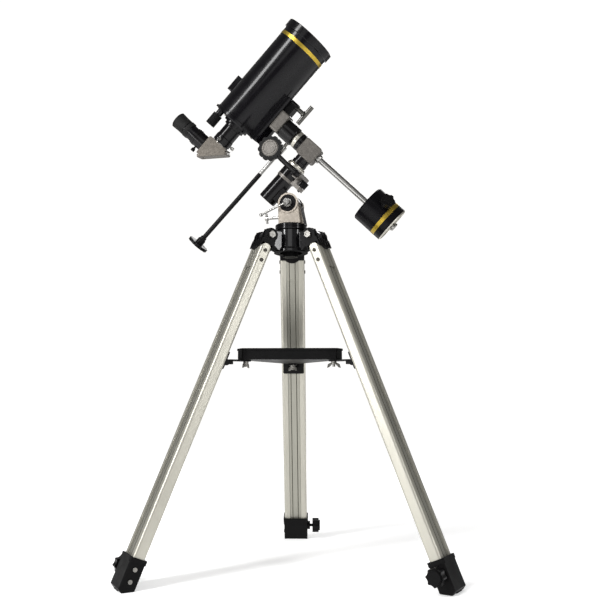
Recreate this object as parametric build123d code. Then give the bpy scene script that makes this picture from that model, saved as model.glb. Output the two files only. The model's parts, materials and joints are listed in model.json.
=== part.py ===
"""Small Maksutov telescope on a light equatorial mount and an aluminium tripod.

Millimetres, +Z up, feet on Z = 0, origin in the middle of the whole object's footprint box.
Every piece is built in the frame of the axis it belongs to, then moved into place:
    tripod frame   origin on the floor under the hub, legs at 90, 210 and 330 degrees
    LEG[i]         origin at a leg's hinge, Z down the leg, X towards the inside, Y tangential
    HEAD           origin on the azimuth axis, X towards the pole, Y away from the slow motion knob
    LAT            origin at the latitude pivot, X along the polar axis
    RA             origin where polar and declination axes cross, X along the polar axis, Z to the tube
    DEC            RA turned about the declination axis
    OTA            origin on the tube axis over the declination axis, Z towards the front, -X away
                   from the mount
    DIAG           origin where the light path bends, Z to the tube's front, X to the eyepiece
"""
from build123d import *
import os
from math import cos, pi, radians, sin, sqrt, tan

os.makedirs("parts", exist_ok=True)

# ---------------------------------------------------------------- driving dimensions
PART_CENTRE = (-2.7, 61.9)        # middle of the footprint box, from the tripod's own axis

# tripod
LEG_ANGLES = (90, 210, 330)
LEG_NAMES = ("a", "b", "c")
HINGE_R = 55.0                    # leg hinge bolts, from the tripod axis
HINGE_Z = 625.0
LEG_LEAN = 22.73                  # degrees from vertical
LEG_WIDTH = 50.0                  # tangential
LEG_DEPTH = 22.0
RAIL_WIDTH = 12.5
RAIL_WALL = 1.8
RAIL_TOP = 20.0                   # distances along the leg from the hinge
RAIL_END = 636.0
INNER_TOP = 72.0
INNER_END = 655.0
INNER_GAP = 0.3                   # sliding clearance of the inner leg
BRACKET_AT = 257.0
HOUSING_TOP = 622.0
LOCK_AT = 645.0
HUB_R = 30.0
HUB_TOP = 642.0
HUB_LOW = 598.0

# tray
TRAY_LOW = 386.0
TRAY_HIGH = 407.0
TRAY_CORNER_R = 108.6
TRAY_CORNER_EDGE = 24.0
TRAY_WALL = 2.5
TRAY_NUT_R = 95.0
PIN_X = 19.0                      # bracket pins, inwards from the leg's centre line

# mount head
HEADING = -15.3                   # direction of the pole about +Z, degrees
LATITUDE = 45.5
PIVOT_Z = 695.0
AXIS_ALONG = 105.0                # axis crossing from the latitude pivot, along the polar axis
AXIS_ABOVE = 47.0                 # and square to it
HOUR_ANGLE = 13.0
DEC_ANGLE = -1.8
BASE_LOW = HUB_TOP + 0.2
BASE_TOP = 654.0
EAR_R = 20.5
EAR_IN = 12.6
EAR_OUT = 20.5
LUG_R = 19.0
LAT_SCREW_Z = 672.0
BARREL_OUT = 18.5                 # polar housing
COVER_R = 20.0
COVER_LOW = -70.0                 # worm wheel cover, from the axis crossing
COVER_HIGH = -45.0
CLAMP_DROP = 38.0                 # clamp screw, below the polar axis
RA_SHAFT_R = 8.0
FIT = 0.08                        # radial clearance of a running fit
RA_WORM_X = -52.0                 # worm axes, from the axis crossing
DEC_WORM_Z = 51.0
WORM_OFFSET = 22.0
WORM_R = 5.0
WORM_SHAFT_R = 3.5
DEC_SHAFT_R = 7.0
WHEEL_TIP_R = 16.5
WHEEL_ROOT_R = 15.2
WHEEL_TEETH = 48
CABLE_R = 4.7
CABLE_AT = 26.0                   # start of the slow motion cables, along their worms
RA_CABLE_FACE = 186.0             # outer faces of the slow motion knobs, from the axis crossing
DEC_CABLE_FACE = 299.0
CONTROL_KNOB_R = 22.5

# counterweight
ROD_R = 6.0
ROD_END = 222.0
WEIGHT_R = 38.0
WEIGHT_LENGTH = 68.0
WEIGHT_LOW = 221.0
WEIGHT_KNOB_ANGLE = -60.0
WEIGHT_KNOB_AT = 185.0

# optical tube
TUBE_HEIGHT = 149.0               # tube axis from the axis crossing
TUBE_R = 50.8
TUBE_WALL = 1.5
TUBE_REAR = -59.0                 # from the declination axis, along the tube
TUBE_FRONT = 165.0
FRONT_CELL_R = 53.8
FRONT_CELL_LENGTH = 16.0
REAR_CELL_R = 52.3
REAR_CELL_LENGTH = 9.0
APERTURE_R = 45.0
BAFFLE_R = 13.0
MIRROR_TRAVEL = 5.0
FOCUS_AT = (-40.0, -9.0)
FOCUS_KNOB_R = 10.0
FOCUS_SHAFT_R = 3.0
BARREL_R = 15.8                   # inch and a quarter barrels
BORE_R = 15.88
BEND_AT = -132.0                  # where the light path bends, along the tube
DIAGONAL_LEG = 22.0               # from the bend to the diagonal's two square faces
COVER_OFFSET = 4.0                # cover plate, behind the mirror's face
BACK_END = BEND_AT + DIAGONAL_LEG + 1
EYEPIECE_AT = DIAGONAL_LEG + 26.4 # eyepiece shoulder, from the bend
FOOT_LOW = 91.5                   # dovetail foot, from the axis crossing
DOVETAIL_LOW = 82.5
SADDLE_LOW = 72.0
SADDLE_TOP = 91.0
CLAMP_X = 45.0


# ---------------------------------------------------------------- helpers
def rod(radius, low, high, x=0.0, y=0.0):
    """Round bar along Z."""
    return Pos(x, y, (low + high) / 2) * Cylinder(radius, high - low)


def rod_x(radius, low, high, y=0.0, z=0.0):
    """Round bar along X."""
    return Pos((low + high) / 2, y, z) * Rot(0, 90, 0) * Cylinder(radius, high - low)


def rod_y(radius, low, high, x=0.0, z=0.0):
    """Round bar along Y."""
    return Pos(x, (low + high) / 2, z) * Rot(90, 0, 0) * Cylinder(radius, high - low)


def block(x, y, z):
    """Box from three (low, high) pairs."""
    middle = [(low + high) / 2 for low, high in (x, y, z)]
    size = [high - low for low, high in (x, y, z)]
    return Pos(*middle) * Box(*size)


def turned(*outline):
    """Solid of revolution about Z from (radius, z) points."""
    return revolve(Plane.XZ * make_face(Polyline(*outline, close=True)), Axis.Z)


def plate_xz(outline, low, high):
    """Plate with an outline of (x, z) points, from y = low to y = high."""
    face = Plane.XZ * make_face(Polyline(*outline, close=True))
    return Pos(0, high, 0) * extrude(face, high - low)


def hexagon(radius, low, high):
    """Hexagonal nut or head along Z."""
    return Pos(0, 0, low) * extrude(RegularPolygon(radius, 6), high - low)


def fluted(radius, low, high, flutes, flute_r, depth):
    """Round knob along Z with flutes round its rim."""
    knob = rod(radius, low, high)
    for place in PolarLocations(radius + flute_r - depth, flutes):
        knob -= place * rod(flute_r, low - 1, high + 1)
    return knob


def toothed_wheel(tip, root, teeth, low, high):
    """Worm wheel with straight teeth, along Z."""
    pitch = 2 * pi / teeth
    outline = []
    for tooth in range(teeth):
        start = tooth * pitch
        for turn, radius in ((0.0, root), (0.25, root), (0.4, tip), (0.85, tip)):
            outline.append((radius * cos(start + turn * pitch), radius * sin(start + turn * pitch)))
    return Pos(0, 0, low) * extrude(make_face(Polyline(*outline, close=True)), high - low)


def save(node, place, *shapes):
    """Move the shapes of one node into the part's frame and write them."""
    shift = Location((-PART_CENTRE[0], -PART_CENTRE[1], 0)) * place
    solids = [solid for shape in shapes for solid in (shift * shape).solids()]
    export_step(Compound(solids) if len(solids) > 1 else solids[0], f"parts/{node}.step")


# ---------------------------------------------------------------- frames
TRIPOD = Location((0, 0, 0))
LEG = [Location((0, 0, 0), (0, 0, angle)) * Location((HINGE_R, 0, HINGE_Z))
       * Location((0, 0, 0), (0, 180 - LEG_LEAN, 0)) for angle in LEG_ANGLES]
HEAD = Location((0, 0, 0), (0, 0, HEADING))
LAT = HEAD * Location((0, 0, PIVOT_Z)) * Location((0, 0, 0), (0, -LATITUDE, 0))
POLAR = LAT * Location((AXIS_ALONG, 0, AXIS_ABOVE))
RA = POLAR * Location((0, 0, 0), (HOUR_ANGLE, 0, 0))
DEC = RA * Location((0, 0, 0), (0, 0, DEC_ANGLE))
OTA = DEC * Location((0, 0, TUBE_HEIGHT)) * Location((0, 0, 0), (0, 90, 0))
DIAG = OTA * Location((0, 0, BEND_AT)) * Location((0, 0, 0), (0, 0, 180))


# ---------------------------------------------------------------- tripod
def tripod_hub():
    """Cast hub with a lug for each leg and a pocket below for the centre bolt."""
    bolt_hole = 4.2
    pocket_r = 22.0
    pocket_top = 624.0
    flare = 3.5
    hub = turned((bolt_hole, HUB_TOP), (HUB_R - 1.5, HUB_TOP), (HUB_R, HUB_TOP - 1.5),
                 (HUB_R, HUB_LOW + 8), (HUB_R + flare, HUB_LOW + 4), (HUB_R + flare, HUB_LOW),
                 (pocket_r, HUB_LOW), (pocket_r, pocket_top), (bolt_hole, pocket_top))
    lug_half = 12.3
    lug_r = 11.0
    outline = ((pocket_r + 2, HUB_LOW + 2), (HUB_R + 4, HUB_LOW + 2), (HINGE_R - 5, HINGE_Z - 9.8),
               (HINGE_R, HINGE_Z - lug_r), (HINGE_R, HINGE_Z + lug_r), (pocket_r + 2, HINGE_Z + lug_r))
    lug = plate_xz(outline, -lug_half, lug_half) + rod_y(lug_r, -lug_half, lug_half, HINGE_R, HINGE_Z)
    lug -= rod_y(4.1, -lug_half - 1, lug_half + 1, HINGE_R, HINGE_Z)
    for angle in LEG_ANGLES:
        hub += Rot(0, 0, angle) * lug
    return hub


def leg_top():
    """Moulded fork that turns on the hub lug and plugs in between the two rails."""
    ear_in = 12.5
    ear_out = LEG_WIDTH / 2
    skin = LEG_DEPTH / 2 + 2.5
    ears = rod_y(13.5, -ear_out, ear_out) + block((-12, 12), (-ear_out, ear_out), (-8, 14))
    casting = ears - block((-30, 30), (-ear_in, ear_in), (-30, 12))
    casting += block((-skin, skin), (-ear_out, ear_out), (12, RAIL_TOP))
    casting += block((-10.8, 10.8), (-12.3, 12.3), (RAIL_TOP, 66))
    for side in (-1, 1):
        cheek = block((0, 2.5), (-24.5, 24.5), (RAIL_TOP, 28)) + rod_x(19, 0, 2.5, z=RAIL_TOP - 5)
        cheek -= block((-1, 4), (-30, 30), (-20, RAIL_TOP))
        casting += Pos(side * LEG_DEPTH / 2 - (2.5 if side < 0 else 0), 0, 0) * cheek
        for rib in (-18, -9, 0, 9, 18):
            low = -6 if abs(rib) > ear_in else 13
            depth = sorted((side * (skin - 1.4), side * (skin + 1.2)))
            casting += block(depth, (rib - 1, rib + 1), (low, 27))
    casting -= rod_y(4.1, -30, 30)
    casting -= rod_y(2.1, -30, 30, 0, 34) + rod_y(2.1, -30, 30, 0, 55)
    return casting


def rail_pair():
    """Two hollow aluminium extrusions with rounded outer faces and rounded top ends."""
    section = Rectangle(LEG_DEPTH, RAIL_WIDTH)
    outer = [v for v in section.vertices() if v.Y > 0]
    section = fillet(outer, 5.0)
    hollow = Rectangle(LEG_DEPTH - 2 * RAIL_WALL, RAIL_WIDTH - 2 * RAIL_WALL)
    hollow = fillet([v for v in hollow.vertices() if v.Y > 0], 3.5)
    bar = Pos(0, 0, RAIL_TOP) * extrude(section, RAIL_END - RAIL_TOP)
    half = LEG_DEPTH / 2
    envelope = block((-half, half), (-10, 10), (RAIL_TOP + half, RAIL_END))
    envelope += rod_y(half, -10, 10, 0, RAIL_TOP + half)
    bar = bar & envelope
    bar -= Pos(0, 0, RAIL_TOP + half) * extrude(hollow, RAIL_END)
    bar -= rod_y(2.1, -10, 10, 0, 34) + rod_y(2.1, -10, 10, 0, 55)
    offset = LEG_WIDTH / 2 - RAIL_WIDTH / 2
    right = Pos(0, offset, 0) * bar
    return right, right.mirror(Plane.XZ)


def inner_leg():
    """Sliding leg: a hollow bar with lengthwise grooves and a rubber tip cut level with the floor."""
    half_y = LEG_WIDTH / 2 - RAIL_WIDTH - INNER_GAP
    half_x = 9.5
    wall = 1.6
    hollow_x = (-half_x + wall, half_x - wall)
    hollow_y = (-half_y + wall, half_y - wall)
    bar = block((-half_x, half_x), (-half_y, half_y), (INNER_TOP, INNER_END))
    bar -= block(hollow_x, hollow_y, (INNER_TOP - 1, INNER_END + 1))
    for side in (-1, 1):
        for line in (-6, 6):
            groove = block((-0.5, 0.5), (line - 0.8, line + 0.8), (INNER_TOP - 1, INNER_END + 1))
            bar -= Pos(side * half_x, 0, 0) * groove
    plug = block(hollow_x, hollow_y, (INNER_END - 15, INNER_END))
    tip = block((-half_x, half_x), (-half_y, half_y), (INNER_END, INNER_END + 40))
    lift = 1.0
    floor = LEG[0].inverse() * block((-900, 900), (-900, 900), (-100, lift))
    return bar, plug + (tip - floor)


def lock_housing():
    """Moulded foot that holds both rails, guides the inner leg and stands flat on the floor."""
    def floor_at(x):
        return (HINGE_Z - x * sin(radians(LEG_LEAN))) / cos(radians(LEG_LEAN))

    half_x = 14.0
    half_y = 26.0
    chamfer = 7.4
    outline = ((half_x, HOUSING_TOP + 4), (half_x, floor_at(half_x)),
               (-half_x + chamfer, floor_at(-half_x + chamfer)),
               (-half_x, floor_at(-half_x) - 8), (-half_x, HOUSING_TOP + 4))
    housing = plate_xz(outline, -half_y, half_y)
    housing = fillet([e for e in housing.edges().filter_by(GeomType.LINE)
                      if abs(e.center().Y) > half_y - 0.1 and abs(abs(e.center().X) - half_x) < 0.1], 2.0)
    lip = block((-half_x - 1.5, half_x + 1.5), (-half_y - 1.5, half_y + 1.5), (HOUSING_TOP, HOUSING_TOP + 8))
    lip = fillet(lip.edges().filter_by(Axis.Z), 4.0)
    housing += lip
    housing += rod_y(9.0, -half_y - 6, -half_y + 1, 0, LOCK_AT)
    rails = LEG_WIDTH / 2
    housing -= block((-LEG_DEPTH / 2, LEG_DEPTH / 2), (-rails, rails), (HOUSING_TOP - 1, RAIL_END))
    housing -= block((-9.9, 9.9), (-12.6, 12.6), (HOUSING_TOP - 1, 720))
    housing -= rod_y(3.3, -half_y - 7, 0, 0, LOCK_AT)
    for place in (640.0, 660.0):
        housing -= rod_y(2.1, half_y - 9, half_y + 1, 0, place)
    return housing


def lock_knob():
    """Clamp screw with a fluted knob, on the leg's -Y side."""
    face = -37.5
    knob = Pos(0, 0, LOCK_AT) * Rot(90, 0, 0) * (fluted(15.5, -face, -face + 14, 8, 9, 2.2)
                                                   + rod(11.5, -face + 13, -face + 17))
    knob -= rod_y(3.0, face - 10, face + 1, 0, LOCK_AT)
    shank = rod_y(3.0, face - 10, -12.8, 0, LOCK_AT)
    return knob, shank


def leg_fasteners():
    """Hinge bolts with nuts, the screws through the rails and the screws in the lock housings."""
    pieces = []
    for leg in LEG:
        bolt = rod_y(4.0, -29, 25)
        bolt += Pos(0, 25, 0) * Rot(-90, 0, 0) * hexagon(7.0, 0, 5)
        nut = Pos(0, -25, 0) * Rot(90, 0, 0) * (hexagon(7.0, 0, 5) - rod(4.0, -1, 6))
        pieces += [leg * bolt, leg * nut]
        for place in (34.0, 55.0):
            screw = rod_y(2.0, -25, 25, 0, place)
            screw += rod_y(3.6, 25, 26.6, 0, place) + rod_y(3.6, -26.6, -25, 0, place)
            pieces.append(leg * screw)
        for place in (640.0, 660.0):
            screw = rod_y(2.0, 18, 26, 0, place) + rod_y(3.6, 26, 27.8, 0, place)
            screw -= block((-0.5, 0.5), (27, 28), (place - 2.6, place + 2.6))
            screw -= block((-2.6, 2.6), (27, 28), (place - 0.5, place + 0.5))
            pieces.append(leg * screw)
    return pieces


# ---------------------------------------------------------------- tray

def tray_bracket():
    """Plate on a leg's inner face with two ears and the pin through them."""
    face = LEG_DEPTH / 2
    plate = block((face, face + 2), (-22, 22), (BRACKET_AT - 17, BRACKET_AT + 17))
    plate = fillet(plate.edges().filter_by(Axis.X), 3.0)
    for side in (-1, 1):
        ear = block((face + 1, PIN_X), (5.2, 7.7), (BRACKET_AT - 6, BRACKET_AT + 6))
        ear += rod_y(6.0, 5.2, 7.7, PIN_X, BRACKET_AT)
        plate += ear if side > 0 else ear.mirror(Plane.XZ)
    plate -= rod_y(2.5, -9, 9, PIN_X, BRACKET_AT)
    pin = rod_y(2.5, -9.5, 9.5, PIN_X, BRACKET_AT)
    pin += rod_y(4.0, 9.5, 11.5, PIN_X, BRACKET_AT) + rod_y(4.0, -11.5, -9.5, PIN_X, BRACKET_AT)
    return plate, pin


def tray_link():
    """Strap from a bracket pin to the underside of a tray corner, in the tripod frame along +X."""
    lean = radians(LEG_LEAN)
    pin_r = HINGE_R + BRACKET_AT * sin(lean) - PIN_X * cos(lean)
    pin_z = HINGE_Z - BRACKET_AT * cos(lean) - PIN_X * sin(lean)
    strap = block((TRAY_NUT_R - 9, pin_r - 6), (-8, 8), (TRAY_LOW - 3, TRAY_LOW))
    strap = fillet(strap.edges().filter_by(Axis.Z).sort_by(Axis.X)[:2], 6.0)
    strap += block((pin_r - 14, pin_r), (-5, 5), (pin_z - 3.5, TRAY_LOW - 0.5))
    strap += rod_y(5.0, -5, 5, pin_r, pin_z)
    strap -= rod_y(2.55, -6, 6, pin_r, pin_z)
    strap -= rod(2.6, TRAY_LOW - 5, TRAY_LOW + 1, TRAY_NUT_R)
    return strap


def accessory_tray():
    """Three-cornered tray with cut corners, a rolled rim and ribs below."""
    half = TRAY_CORNER_EDGE / 2
    points = []
    for angle in LEG_ANGLES:
        turn = radians(angle)
        for edge in (-half, half):
            points.append((TRAY_CORNER_R * cos(turn) - edge * sin(turn),
                           TRAY_CORNER_R * sin(turn) + edge * cos(turn)))
    outline = make_face(Polyline(*points, close=True))
    outline = fillet(outline.vertices(), 5.0)
    floor = 3.0
    tray = Pos(0, 0, TRAY_LOW) * extrude(offset(outline, -1.5), TRAY_HIGH - TRAY_LOW)
    tray += Pos(0, 0, TRAY_HIGH - 4) * extrude(outline, 4)
    tray -= Pos(0, 0, TRAY_LOW + floor) * extrude(offset(outline, -1.5 - TRAY_WALL), TRAY_HIGH)
    for angle in LEG_ANGLES:
        tray -= Rot(0, 0, angle) * rod(2.6, TRAY_LOW - 1, TRAY_LOW + floor + 1, TRAY_NUT_R)
        tray -= Rot(0, 0, angle) * rod(4.8, TRAY_LOW + 1.2, TRAY_LOW + floor + 1, TRAY_NUT_R)
    return tray


def tray_wing_nut():
    """Screw through a tray corner and its link, with the wing nut below, along +X of the tripod."""
    screw = rod(2.5, TRAY_LOW - 13, TRAY_LOW + 1.2, TRAY_NUT_R)
    screw += rod(4.5, TRAY_LOW + 1.2, TRAY_LOW + 2.8, TRAY_NUT_R)
    nut = rod(5.0, TRAY_LOW - 8, TRAY_LOW - 3, TRAY_NUT_R)
    wing = plate_xz(((3, TRAY_LOW - 4), (11, TRAY_LOW - 8), (13, TRAY_LOW - 15), (9, TRAY_LOW - 14),
                     (3, TRAY_LOW - 8)), -1.2, 1.2)
    wing = Pos(TRAY_NUT_R, 0, 0) * (wing + wing.mirror(Plane.YZ))
    nut = Pos(TRAY_NUT_R, 0, 0) * Rot(0, 0, 40) * Pos(-TRAY_NUT_R, 0, 0) * (nut + wing)
    nut -= rod(2.5, TRAY_LOW - 20, TRAY_LOW, TRAY_NUT_R)
    return screw, nut


# ---------------------------------------------------------------- azimuth head
def head_centre_bolt():
    """Bolt that holds the head on the hub, with a fluted knob in the hub's pocket."""
    knob = fluted(15.0, 590, 605, 7, 8, 2.0)
    collar = rod(9.0, 604, 620) + rod(12.0, 619.5, 623.6)
    return rod(4.0, 604, 650) + knob + collar


def azimuth_yoke():
    """Round base with two ears for the latitude pivot and a sloping web between them."""
    wide = HUB_R + 1.0
    groove = BASE_LOW + 4.5
    base = turned((0, BASE_LOW), (wide - 0.5, BASE_LOW), (wide, BASE_LOW + 1), (wide, groove),
                  (wide - 0.8, groove + 0.5), (wide - 0.8, groove + 1.5), (wide, groove + 2),
                  (wide, BASE_TOP - 1), (wide - 1, BASE_TOP), (0, BASE_TOP))
    ear = plate_xz(((-19.5, BASE_TOP), (25, BASE_TOP), (19.2, 702), (-EAR_R, PIVOT_Z)), EAR_IN, EAR_OUT)
    ear += rod_y(EAR_R, EAR_IN, EAR_OUT, 0, PIVOT_Z)
    rim = rod_y(EAR_R, EAR_OUT, EAR_OUT + 1.5, 0, PIVOT_Z)
    rim -= rod_y(EAR_R - 3.5, EAR_OUT - 1, EAR_OUT + 2, 0, PIVOT_Z)
    ear += rim
    web_low = BASE_TOP - 0.5
    pocket = 667.0
    web = plate_xz(((-19.5, web_low), (30, web_low), (22, 692), (14, 692), (14, pocket), (-13.5, pocket),
                    (-13.5, 679), (-19.5, 679)), -EAR_IN, EAR_IN)
    web -= rod_y(LUG_R + 0.7, -EAR_IN - 1, EAR_IN + 1, 0, PIVOT_Z)
    yoke = base + ear + ear.mirror(Plane.XZ) + web
    yoke -= rod_y(4.1, -30, 30, 0, PIVOT_Z)
    yoke -= rod_x(3.1, -25, -10, 0, LAT_SCREW_Z)
    yoke -= rod(4.3, BASE_LOW - 1, BASE_TOP - 2)
    return yoke


def latitude_lock():
    """Pivot bolt with a long lever on the near side and a nut on the far side."""
    washer = EAR_OUT + 1.8
    lever_at = -29.0
    lever_length = 56.0
    lever_lean = 67.0
    bolt = rod_y(4.0, -33, 30, 0, PIVOT_Z)
    bolt += rod_y(8.5, -washer - 2.2, -washer, 0, PIVOT_Z) + rod_y(6.5, -33, -washer - 2.2, 0, PIVOT_Z)
    lever = rod(2.0, 0, lever_length) + Pos(0, 0, lever_length + 1) * Sphere(3.6)
    lever = Pos(0, lever_at, PIVOT_Z) * Rot(0, 180 + lever_lean, 0) * lever
    nut = Pos(0, washer, PIVOT_Z) * Rot(-90, 0, 0) * (hexagon(7.5, 0, 6) - rod(4.05, -1, 7))
    return bolt + lever + nut


def latitude_screw():
    """Tee-handled screw that pushes on the pivot lug's tail to set the latitude."""
    tip = -4.9
    handle = -51.0
    screw = rod_x(1.5, tip - 2.5, tip, 0, LAT_SCREW_Z)
    screw += rod_x(3.0, handle + 1, tip - 2, 0, LAT_SCREW_Z)
    screw += rod_x(4.5, handle - 3, handle + 3, 0, LAT_SCREW_Z)
    return screw + Pos(handle, 0, LAT_SCREW_Z) * Rot(20, 0, 0) * rod(2.3, -10.5, 10.5)


# ---------------------------------------------------------------- polar axis
def polar_housing():
    """Barrel round the polar shaft, the worm wheel's cover and the lug on the latitude pivot."""
    end = -131.0
    tip_space = WHEEL_TIP_R + 0.7
    barrel = turned((0, end), (BARREL_OUT - 1.5, end), (BARREL_OUT, end + 1.5), (BARREL_OUT, COVER_LOW),
                    (COVER_R, COVER_LOW), (COVER_R, COVER_HIGH - 1), (COVER_R - 1, COVER_HIGH),
                    (0, COVER_HIGH))
    barrel = Pos(AXIS_ALONG, 0, AXIS_ABOVE) * Rot(0, 90, 0) * barrel
    neck = block((-15, 15), (-12.3, 12.3), (4, AXIS_ABOVE - 12))
    lug = rod_y(LUG_R, -12.3, 12.3) + neck
    tail = Rot(0, LATITUDE, 0) * block((-3.5, 3.5), (-8, 8), (-26, -14))
    housing = barrel + lug + tail
    housing -= rod_x(RA_SHAFT_R + FIT, AXIS_ALONG + end + 2.5, AXIS_ALONG, 0, AXIS_ABOVE)
    housing -= rod_x(tip_space, AXIS_ALONG + RA_WORM_X - 5.8, AXIS_ALONG + RA_WORM_X + 5.8, 0, AXIS_ABOVE)
    housing -= rod_y(WORM_R + 0.4, -15, 15, AXIS_ALONG + RA_WORM_X, AXIS_ABOVE - WORM_OFFSET)
    housing -= rod_y(4.1, -30, 30)
    return housing


def ra_worm_bracket():
    """Grey casting on the polar housing: worm block, ring and the clamp screw's lug."""
    worm_x = AXIS_ALONG + RA_WORM_X
    worm_z = AXIS_ABOVE - WORM_OFFSET
    face = AXIS_ALONG + COVER_LOW
    ring = rod_x(COVER_R, face - 6, face, 0, AXIS_ABOVE)
    lug = block((face - 4, face + 4), (-9, 9), (AXIS_ABOVE - CLAMP_DROP - 6, AXIS_ABOVE - 16))
    lug = fillet(lug.edges().filter_by(Axis.X).sort_by(Axis.Z)[:2], 6.0)
    body = block((worm_x - 8.5, worm_x + 8.5), (-25, 25), (worm_z - 8, worm_z + 7))
    body = fillet(body.edges().filter_by(Axis.Y), 3.0)
    arm = block((face - 1, worm_x), (-9, 9), (worm_z - 6, worm_z + 2))
    bracket = ring + lug + arm + body
    bracket -= rod_x(COVER_R, face, AXIS_ALONG, 0, AXIS_ABOVE)
    bracket -= rod_x(COVER_R + 0.6, AXIS_ALONG + COVER_HIGH, AXIS_ALONG, 0, AXIS_ABOVE)
    bracket -= rod_x(BARREL_OUT, face - 10, face + 1, 0, AXIS_ABOVE)
    bracket -= rod_y(WORM_R + 0.4, -15, 15, worm_x, worm_z)
    bracket -= rod_y(WORM_SHAFT_R + FIT, -30, 30, worm_x, worm_z)
    bracket -= rod_x(2.6, face - 10, face + 10, 0, AXIS_ABOVE - CLAMP_DROP)
    return bracket


def ra_clamp_knob():
    """Ribbed clamp screw beside the worm wheel's cover."""
    low = AXIS_ALONG + COVER_LOW + 4.5
    drop = AXIS_ABOVE - CLAMP_DROP
    knob = Pos(0, 0, drop) * Rot(0, 90, 0) * fluted(7.5, low, low + 14, 14, 1.0, 0.8)
    knob -= rod_x(2.5, low - 1, low + 9, 0, drop)
    return knob, rod_x(2.5, low - 10.5, low + 9, 0, drop)


def ra_shaft():
    """Polar shaft with the neck that carries the setting circle."""
    face = COVER_HIGH + 0.3
    neck = 14.7
    shaft = turned((0, -127), (7.5, -127), (RA_SHAFT_R, -126.5), (RA_SHAFT_R, face), (neck, face),
                   (neck, -36.5), (16.0, -36.2), (16.0, -30), (15.0, -29), (15.0, -20), (6.5, -20),
                   (6.5, -12), (0, -12))
    return Rot(0, 90, 0) * shaft


def wheel(low, high, bore):
    """Worm wheel on a shaft along Z."""
    return toothed_wheel(WHEEL_TIP_R, WHEEL_ROOT_R, WHEEL_TEETH, low, high) - rod(bore, low - 1, high + 1)


def setting_circle(inner, outer, low, high):
    """Engraved ring with a stepped rim, along Z."""
    return turned((inner, low), (outer, low), (outer, high - 3.5), (outer - 2.2, high), (inner, high))


def worm(far):
    """Worm with its shaft ends, along Z, from its far end to inside the control cable's sleeve."""
    end = CABLE_AT + 10
    half = 14.5
    return turned((0, -far), (WORM_SHAFT_R, -far), (WORM_SHAFT_R, -half), (WORM_R, -half), (WORM_R, half),
                  (WORM_SHAFT_R, half), (WORM_SHAFT_R, end), (0, end))


def control_cable(face):
    """Stiff control shaft with a clamp sleeve at the worm and a sleeve at the knob, along Z."""
    near = CABLE_AT
    bore = WORM_SHAFT_R + 0.05
    low = near + 18
    high = face - 25
    sleeve = turned((bore, near), (6.3, near), (6.8, near + 1), (6.8, near + 16), (5.6, low), (CABLE_R, low),
                    (CABLE_R, high), (5.6, high), (6.5, high + 2), (6.5, face - 9), (0, face - 9),
                    (0, near + 10.2), (bore, near + 10.2))
    screw = Pos(0, 0, near + 6) * Rot(0, 90, 0) * (rod(2.2, 5, 9.5) - block((-3, 3), (-0.5, 0.5), (8.7, 10)))
    return sleeve + screw


def control_knob(face):
    """Disc knob with a scalloped rim, a raised cap and a hub behind, along Z."""
    rim = fluted(CONTROL_KNOB_R, face - 8, face - 1.5, 12, 4.5, 1.9)
    cap = turned((0, face), (13.5, face), (14.5, face - 0.5), (15.5, face - 1.5), (15.5, face - 2),
                 (0, face - 2))
    groove = turned((10.5, face - 0.6), (11.7, face - 0.6), (11.7, face + 1), (10.5, face + 1))
    hub = turned((0, face - 19), (7.3, face - 19), (8.3, face - 17), (8.3, face - 8), (0, face - 8))
    return rim + (cap - groove) + (hub - rod(6.5, face - 20, face - 9))


# ---------------------------------------------------------------- declination axis
def t_block():
    """Rounded casting where the two axes cross."""
    body = block((-20, 17), (-17.5, 17.5), (-20, 20))
    body = fillet(body.edges().filter_by(Axis.Y), 5.0)
    body = chamfer(body.edges().group_by(Axis.Y)[0] + body.edges().group_by(Axis.Y)[-1], 1.5)
    body -= rod_x(6.5, -21, -12)
    body -= rod(ROD_R, -21, -10)
    body -= rod(9.0, 12, 21)
    return body


def dec_housing():
    """Barrel round the declination shaft, with the worm block on its far side."""
    top = SADDLE_LOW - 1
    cavity = DEC_WORM_Z - 6.5
    barrel = turned((0, 12), (9.0, 12), (9.0, 20), (16.5, 20), (16.5, 24), (18.3, 24), (18.3, 29.6),
                    (14.7, 30), (14.7, 41), (19.5, 41.5), (20.0, 42.5), (20.0, top - 1), (19.0, top),
                    (0, top))
    body = block((-14, 14), (14, WORM_OFFSET + 7), (DEC_WORM_Z - 7.5, DEC_WORM_Z + 7.5))
    body = fillet(body.edges().filter_by(Axis.X).sort_by(Axis.Y)[-2:], 4.0)
    housing = barrel + body
    housing -= rod(DEC_SHAFT_R + FIT, 22, cavity + 1)
    housing -= rod(WHEEL_TIP_R + 0.7, cavity, top + 1)
    housing -= rod_x(WORM_R + 0.4, -14.8, 14.8, WORM_OFFSET, DEC_WORM_Z)
    housing -= rod_x(WORM_SHAFT_R + FIT, -30, 30, WORM_OFFSET, DEC_WORM_Z)
    return housing


def dec_shaft():
    """Declination shaft, from inside the housing up into the saddle."""
    flange = SADDLE_LOW - 2.5
    top = DOVETAIL_LOW - 1.5
    return turned((0, 24), (DEC_SHAFT_R - 0.5, 24), (DEC_SHAFT_R, 24.5), (DEC_SHAFT_R, flange),
                  (16.8, flange), (16.8, SADDLE_LOW), (6.0, SADDLE_LOW), (6.0, top), (0, top))


def saddle():
    """Grey saddle with a dovetail groove and a lug for the clamp bolt."""
    body = block((-19, 24), (-23, 23), (SADDLE_LOW, SADDLE_TOP))
    body = fillet(body.edges().filter_by(Axis.Z), 4.0)
    body = chamfer(body.edges().group_by(Axis.Z)[0], 1.2)
    lug = block((20, 52), (-15, 15), (SADDLE_LOW + 5, SADDLE_TOP))
    lug = fillet(lug.edges().filter_by(Axis.Z).sort_by(Axis.X)[-2:], 6.0)
    body += lug
    body -= dovetail(0.35)
    body -= rod(6.0, SADDLE_LOW - 1, DOVETAIL_LOW - 0.5)
    return body - rod(4.6, SADDLE_LOW - 5, SADDLE_TOP + 1, CLAMP_X)


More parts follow.
